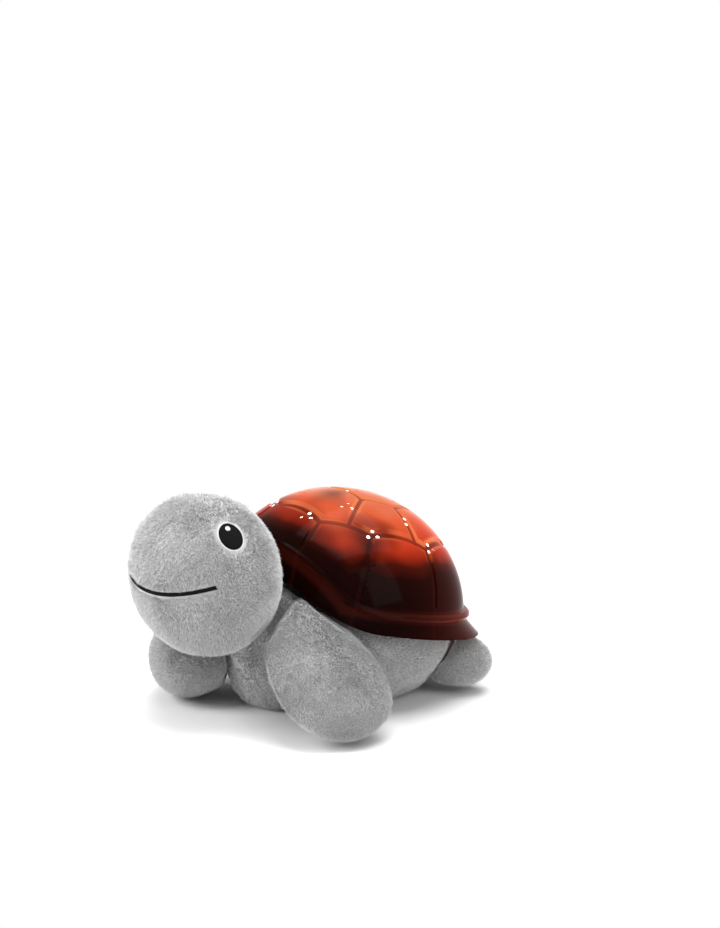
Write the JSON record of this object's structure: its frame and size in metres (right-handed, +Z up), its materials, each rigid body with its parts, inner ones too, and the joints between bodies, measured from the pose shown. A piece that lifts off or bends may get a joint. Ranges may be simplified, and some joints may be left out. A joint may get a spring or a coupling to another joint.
{
  "type": "star projector",
  "caption": "Stuffed turtle with a glossy translucent shell that throws light from windows in its dome, over a plastic module with lamps, loudspeaker and cells.",
  "frame": {"origin": "on the belly's rest face, on the middle plane, just in front of the tub's well", "axes": "+Z up off the rest face, head towards -Y, the turtle's left side towards +X"},
  "size_m": [0.1796, 0.2201, 0.1312],
  "materials": {
    "plush": "short dense pile",
    "thread_dark": "satin stitch",
    "thread_white": "satin stitch",
    "shell": "gloss, translucent",
    "lens": "clear, lit from behind",
    "inner_white": "satin",
    "base_plastic": "fine grain",
    "screw_steel": "plated",
    "board": "solder mask",
    "black_plastic": "moulded",
    "lamp_amber": "clear lens",
    "lamp_green": "clear lens",
    "lamp_blue": "clear lens",
    "button": "soft matt",
    "speaker_metal": "black",
    "magnet": "plated",
    "cone": "paper pulp",
    "cell_can": "plain sleeve",
    "contact": "nickel",
    "knob": "ribbed"
  },
  "bodies": {
    "body": {"plush_body": "plush", "shell_dome": "shell", "light_windows": "lens", "light_deck": "inner_white", "base_tub": "base_plastic", "flange_screws": "screw_steel", "dome_screws": "screw_steel", "lamp_board": "board", "lamp_amber": "lamp_amber", "lamp_green": "lamp_green", "lamp_blue": "lamp_blue", "key_board": "board", "tact_switches": "black_plastic", "main_board": "board", "board_chips": "black_plastic", "board_screws": "screw_steel", "speaker_frame": "speaker_metal", "speaker_magnet": "magnet", "speaker_cone": "cone", "cells": "cell_can", "cell_contacts": "contact", "switch_body": "black_plastic", "volume_pot": "black_plastic"},
    "head": {"plush_head": "plush", "eye_left": "thread_dark", "eye_right": "thread_dark", "eye_rim_left": "thread_white", "eye_rim_right": "thread_white", "eye_glint_left": "thread_white", "eye_glint_right": "thread_white", "mouth_stitch": "thread_dark"},
    "flipper_front_left": {"front_flipper_left": "plush"},
    "flipper_front_right": {"front_flipper_right": "plush"},
    "flipper_rear_left": {"rear_flipper_left": "plush"},
    "flipper_rear_right": {"rear_flipper_right": "plush"},
    "door": {"battery_door": "base_plastic", "door_screw": "screw_steel"},
    "switch": {"power_switch": "knob"},
    "wheel": {"volume_wheel": "knob"},
    "button_light": {"light_button": "button"},
    "button_melody": {"melody_button": "button"}
  },
  "joints": [
    {"name": "head_nod", "type": "hinge", "parent": "body", "child": "head", "pos_m": [0, -0.018, 0.066], "axis": [1, 0, 0], "range_deg": [-4, 10], "stiffness_Nm_per_rad": 4},
    {"name": "flipper_front_left_swing", "type": "hinge", "parent": "body", "child": "flipper_front_left", "pos_m": [0.0256, -0.0143, 0.0647], "axis": [0, 0, 1], "range_deg": [-10, 10], "stiffness_Nm_per_rad": 0.5},
    {"name": "flipper_front_right_swing", "type": "hinge", "parent": "body", "child": "flipper_front_right", "pos_m": [-0.016, -0.002, 0.056], "axis": [0, 0, 1], "range_deg": [-10, 10], "stiffness_Nm_per_rad": 0.5},
    {"name": "flipper_rear_left_swing", "type": "hinge", "parent": "body", "child": "flipper_rear_left", "pos_m": [0.032, 0.08, 0.021], "axis": [0, 0, 1], "range_deg": [-8, 8], "stiffness_Nm_per_rad": 0.3},
    {"name": "flipper_rear_right_swing", "type": "hinge", "parent": "body", "child": "flipper_rear_right", "pos_m": [-0.032, 0.08, 0.021], "axis": [0, 0, 1], "range_deg": [-8, 8], "stiffness_Nm_per_rad": 0.3},
    {"name": "door_open", "type": "hinge", "parent": "body", "child": "door", "pos_m": [0, 0.0436, 0.004], "axis": [-1, 0, 0], "range_deg": [0, 100]},
    {"name": "power_slide", "type": "slide", "parent": "body", "child": "switch", "axis": [0, 1, 0], "range_m": [-0.0024, 0.0024]},
    {"name": "volume_turn", "type": "hinge", "parent": "body", "child": "wheel", "pos_m": [-0.0215, 0.024, 0.0082], "axis": [1, 0, 0], "range_deg": [-135, 135]},
    {"name": "light_press", "type": "slide", "parent": "body", "child": "button_light", "axis": [0, -0.9421, 0.3355], "range_m": [0, 0.001], "stiffness_N_per_m": 400},
    {"name": "melody_press", "type": "slide", "parent": "body", "child": "button_melody", "axis": [0, -0.9421, 0.3355], "range_m": [0, 0.001], "stiffness_N_per_m": 400}
  ]
}
